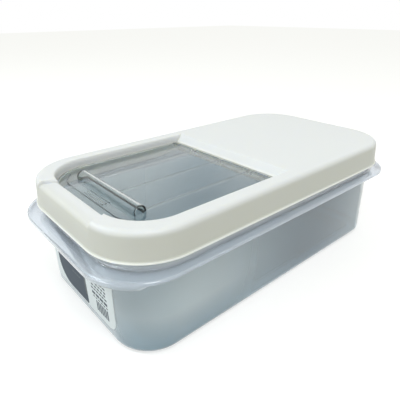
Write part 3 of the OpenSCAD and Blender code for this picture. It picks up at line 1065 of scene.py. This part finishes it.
def white_cap_material():
    """Satin white polypropylene, one white with light and shade painted in: white on top, greyer
    down the skirt as painted shade, creamy and lighter inside as a painted glow, and a painted
    highlight on the bead.
    """
    material, tree, shader = new_material("white_polypropylene")
    cloud = noise(tree, 9, 2)
    grain = noise(tree, 1100, 2)
    top = mix_colours(tree, cloud, (0.745, 0.76, 0.775), (0.765, 0.775, 0.79))
    # painted light: the inside of the window and collar is a lighter, creamy white, a painted glow
    # of light through the plastic, up to 110 to 114 mm
    inside = mix_colours(tree, cloud, (0.94, 0.92, 0.83), (0.96, 0.94, 0.87))
    inside = mix_colours(tree, height_zone(tree, 110, 114), inside, top)
    # painted shade: the skirt is a darker, greyer copy of the top's white, blending into it from
    # 114 to 119 mm
    skirt = mix_colours(tree, cloud, (0.64, 0.645, 0.595), (0.66, 0.665, 0.62))
    skirt = mix_colours(tree, height_zone(tree, 114, 119), skirt, top)
    outside = outline_zone(tree, SKIRT_HALF, SKIRT_RADIUS, -11, -5)
    colour = mix_colours(tree, outside, inside, skirt)
    # painted highlight: the bead at the skirt's lower edge, below about 96 mm, is near white
    bead = height_zone(tree, 96.1, 95.5)
    colour = mix_colours(tree, bead, colour, (0.95, 0.96, 0.91))
    link = tree.links.new
    link(colour, shader.inputs["Base Color"])
    link(mix_numbers(tree, cloud, 0.34, 0.44), shader.inputs["Roughness"])
    shader.inputs["IOR"].default_value = 1.49
    shader.inputs["Subsurface Weight"].default_value = 0.4
    shader.inputs["Subsurface Radius"].default_value = (1.0, 0.92, 0.7)
    shader.inputs["Subsurface Scale"].default_value = 3.5 * MM
    bump(tree, shader, grain, 0.15, 0.06)
    return material


def clear_lid_material():
    """Clear styrene with a faint green-grey tint and slightly uneven faces."""
    material, tree, shader = new_material("clear_styrene")
    haze = noise(tree, 20, 2)
    tint = mix_colours(tree, haze, (0.77, 0.825, 0.82), (0.80, 0.845, 0.84))
    tree.links.new(tint, shader.inputs["Base Color"])
    tree.links.new(mix_numbers(tree, haze, 0.03, 0.07), shader.inputs["Roughness"])
    shader.inputs["IOR"].default_value = 1.5
    shader.inputs["Transmission Weight"].default_value = 1.0
    bump(tree, shader, haze, 0.05, 0.3)
    return material


def paper_material():
    """The sticker's coated white paper."""
    material, tree, shader = new_material("coated_paper")
    fibre = noise(tree, 700, 4)
    cloud = noise(tree, 30, 2)
    white = mix_colours(tree, cloud, (0.76, 0.83, 0.87), (0.80, 0.86, 0.89))
    tree.links.new(white, shader.inputs["Base Color"])
    tree.links.new(mix_numbers(tree, fibre, 0.35, 0.5), shader.inputs["Roughness"])
    bump(tree, shader, fibre, 0.1, 0.02)
    return material


def ink_material(name, dark, light):
    """Matt ink that varies a little between two tones."""
    material, tree, shader = new_material(name)
    cloud = noise(tree, 60, 3)
    tree.links.new(mix_colours(tree, cloud, dark, light), shader.inputs["Base Color"])
    tree.links.new(mix_numbers(tree, cloud, 0.45, 0.6), shader.inputs["Roughness"])
    shader.inputs["Specular IOR Level"].default_value = 0.25
    bump(tree, shader, cloud, 0.1, 0.02)
    return material


# ---------------------------------------------------------------- stage and light

def background_rays(tree):
    """1 for what the camera sees directly, in a reflection or through the clear plastic."""
    rays = node(tree, "ShaderNodeLightPath").outputs
    return combine(
        tree, "MAXIMUM", rays["Is Camera Ray"], rays["Is Glossy Ray"], rays["Is Transmission Ray"]
    )


def mix_shaders(tree, factor, first, second):
    """The first shader where factor is 0 and the second where it is 1."""
    made = node(tree, "ShaderNodeMixShader")
    tree.links.new(factor, made.inputs["Fac"])
    tree.links.new(first.outputs[0], made.inputs[1])
    tree.links.new(second.outputs[0], made.inputs[2])
    return made.outputs[0]


def add_world():
    """A soft pale sky that gives light, and plain white behind the bin."""
    world = bpy.data.worlds.new("studio")
    bpy.context.scene.world = world
    world.use_nodes = True
    tree = world.node_tree
    lit = tree.nodes["Background"]
    lit.inputs["Color"].default_value = (0.99, 1.0, 0.90, 1)
    lit.inputs["Strength"].default_value = 0.64
    seen = node(tree, "ShaderNodeBackground", {"Color": (1, 1, 1, 1), "Strength": 1.0})
    mixed = mix_shaders(tree, background_rays(tree), lit, seen)
    tree.links.new(mixed, tree.nodes["World Output"].inputs["Surface"])


def floor_material():
    """A grey floor that is seen as near white and still shows the bin's shadow."""
    material, tree, shader = new_material("pale_floor")
    tree.nodes.remove(shader)
    lit = node(tree, "ShaderNodeBsdfDiffuse", {"Color": (0.5, 0.5, 0.5, 1)})
    glow = node(tree, "ShaderNodeEmission", {"Color": (1, 1, 1, 1), "Strength": 0.62})
    seen = node(tree, "ShaderNodeAddShader")
    tree.links.new(lit.outputs[0], seen.inputs[0])
    tree.links.new(glow.outputs[0], seen.inputs[1])
    mixed = mix_shaders(tree, background_rays(tree), lit, seen)
    tree.links.new(mixed, tree.nodes["Material Output"].inputs["Surface"])
    return material


def add_floor():
    """A wide plain floor."""
    mesh = bpy.data.meshes.new("floor")
    half = 6.0
    corners = [(-half, -half, 0), (half, -half, 0), (half, half, 0), (-half, half, 0)]
    mesh.from_pydata(corners, [], [(0, 1, 2, 3)])
    mesh.materials.append(floor_material())
    add_object("floor", mesh)


def add_lamp(name, origin, aim, size, power, colour):
    """A round soft light, with its place, aim and size in metres and its power in watts."""
    data = bpy.data.lights.new(name, "AREA")
    data.shape = "DISK"
    data.size = size
    data.energy = power
    data.color = colour
    lamp = add_object(name, data)
    lamp.location = origin
    lamp.rotation_mode = "QUATERNION"
    lamp.rotation_quaternion = (Vector(aim) - Vector(origin)).to_track_quat("-Z", "Y")


def add_stage():
    """The floor, the sky and three soft lights."""
    add_world()
    add_floor()
    add_lamp("window_light", (-0.9, -1.2, 1.5), (0, 0, 0.1), 0.4, 9.5, (0.86, 0.95, 1.0))
    add_lamp("front_light", (-0.1, -1.9, 0.5), (0, 0, 0.08), 0.6, 4, (0.94, 0.98, 1.0))
    add_lamp("ceiling_light", (0.8, -0.3, 1.6), (0, 0, 0.1), 0.6, 10, (0.94, 0.98, 1.0))


# ---------------------------------------------------------------- the bin

add_camera()
add_stage()
add_tub(clear_tub_material())
add_cap(white_cap_material())
add_flip_lid(clear_lid_material())
add_label(
    paper_material(),
    ink_material("printed_ink", (0.03, 0.05, 0.075), (0.065, 0.09, 0.12)),
    ink_material("faded_ink", (0.11, 0.13, 0.14), (0.20, 0.22, 0.22)),
)
